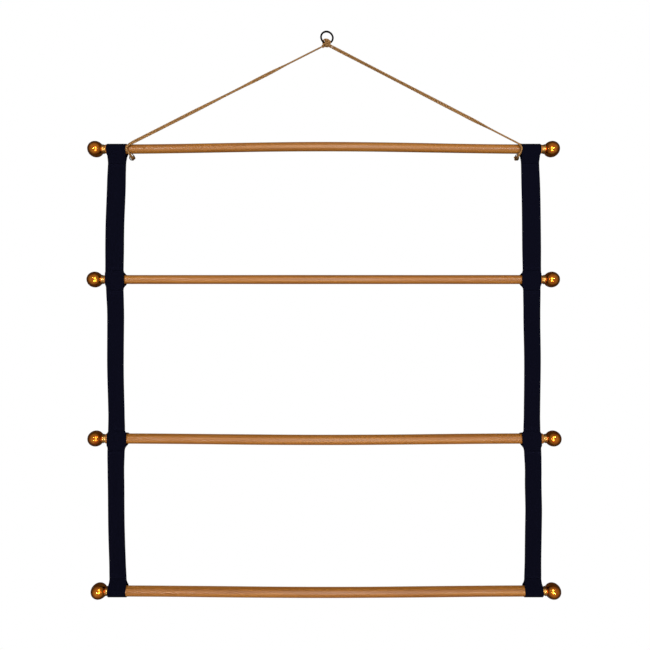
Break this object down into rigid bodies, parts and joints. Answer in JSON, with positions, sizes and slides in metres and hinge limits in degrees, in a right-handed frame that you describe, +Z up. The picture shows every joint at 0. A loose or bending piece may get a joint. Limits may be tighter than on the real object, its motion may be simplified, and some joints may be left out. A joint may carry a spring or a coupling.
{
  "type": "hanging rail ladder",
  "caption": "Wall-hung ladder of round wooden rails with ball finials, sleeved in two webbing straps and hung from a ring by a cord; it holds blankets, quilts or towels.",
  "frame": {"origin": "the hook's seat, at the inner top of the hang ring", "axes": "+X along the rails to the right as seen from the front, +Z up, the front faces -Y"},
  "size_m": [1.3269, 0.0444, 1.5912],
  "materials": {
    "rail_wood": "varnished, satin",
    "finial_copper": "polished, copper toned",
    "collar_brass": "polished",
    "stud_steel": "zinc plated thread",
    "webbing": "woven navy webbing",
    "cord": "loosely laid two-ply cord",
    "ring_bronze": "dark bronze, satin",
    "eye_brass": "aged brass wire"
  },
  "bodies": {
    "ring": {"hang_ring": "ring_bronze"},
    "hanger": {"cord_hitch": "cord", "cord_left": "cord", "cord_knot_left": "cord", "screw_eye_left": "eye_brass", "cord_right": "cord", "cord_knot_right": "cord", "screw_eye_right": "eye_brass", "rail_1": "rail_wood", "finial_ball_1_left": "finial_copper", "finial_collar_1_left": "collar_brass", "finial_stud_1_left": "stud_steel", "finial_ball_1_right": "finial_copper", "finial_collar_1_right": "collar_brass", "finial_stud_1_right": "stud_steel"},
    "upper_straps": {"sleeve_1_left": "webbing", "web_1_left": "webbing", "sleeve_2_left": "webbing", "sleeve_1_right": "webbing", "web_1_right": "webbing", "sleeve_2_right": "webbing"},
    "rail_2": {"rail_2": "rail_wood", "finial_ball_2_left": "finial_copper", "finial_collar_2_left": "collar_brass", "finial_stud_2_left": "stud_steel", "finial_ball_2_right": "finial_copper", "finial_collar_2_right": "collar_brass", "finial_stud_2_right": "stud_steel"},
    "middle_straps": {"web_2_left": "webbing", "sleeve_3_left": "webbing", "web_2_right": "webbing", "sleeve_3_right": "webbing"},
    "rail_3": {"rail_3": "rail_wood", "finial_ball_3_left": "finial_copper", "finial_collar_3_left": "collar_brass", "finial_stud_3_left": "stud_steel", "finial_ball_3_right": "finial_copper", "finial_collar_3_right": "collar_brass", "finial_stud_3_right": "stud_steel"},
    "lower_straps": {"web_3_left": "webbing", "sleeve_4_left": "webbing", "web_3_right": "webbing", "sleeve_4_right": "webbing"},
    "rail_4": {"rail_4": "rail_wood", "finial_ball_4_left": "finial_copper", "finial_collar_4_left": "collar_brass", "finial_stud_4_left": "stud_steel", "finial_ball_4_right": "finial_copper", "finial_collar_4_right": "collar_brass", "finial_stud_4_right": "stud_steel"}
  },
  "joints": [
    {"name": "hang_swing", "type": "hinge", "parent": "ring", "child": "hanger", "pos_m": [0, 0, -0.0305], "axis": [1, 0, 0], "range_deg": [-60, 60]},
    {"name": "fold_1", "type": "hinge", "parent": "hanger", "child": "upper_straps", "pos_m": [-0.0065, 0, -0.327], "axis": [1, 0, 0], "range_deg": [-90, 90]},
    {"name": "fold_2", "type": "hinge", "parent": "upper_straps", "child": "middle_straps", "pos_m": [-0.0065, 0, -0.692], "axis": [1, 0, 0], "range_deg": [-45, 130]},
    {"name": "fold_3", "type": "hinge", "parent": "middle_straps", "child": "lower_straps", "pos_m": [-0.0065, 0, -1.137], "axis": [1, 0, 0], "range_deg": [-110, 45]},
    {"name": "rail_2_spin", "type": "hinge", "parent": "upper_straps", "child": "rail_2", "pos_m": [-0.0065, 0, -0.692], "axis": [1, 0, 0], "continuous": true},
    {"name": "rail_3_spin", "type": "hinge", "parent": "middle_straps", "child": "rail_3", "pos_m": [-0.0065, 0, -1.137], "axis": [1, 0, 0], "continuous": true},
    {"name": "rail_4_spin", "type": "hinge", "parent": "lower_straps", "child": "rail_4", "pos_m": [-0.0065, 0, -1.564], "axis": [1, 0, 0], "continuous": true}
  ]
}
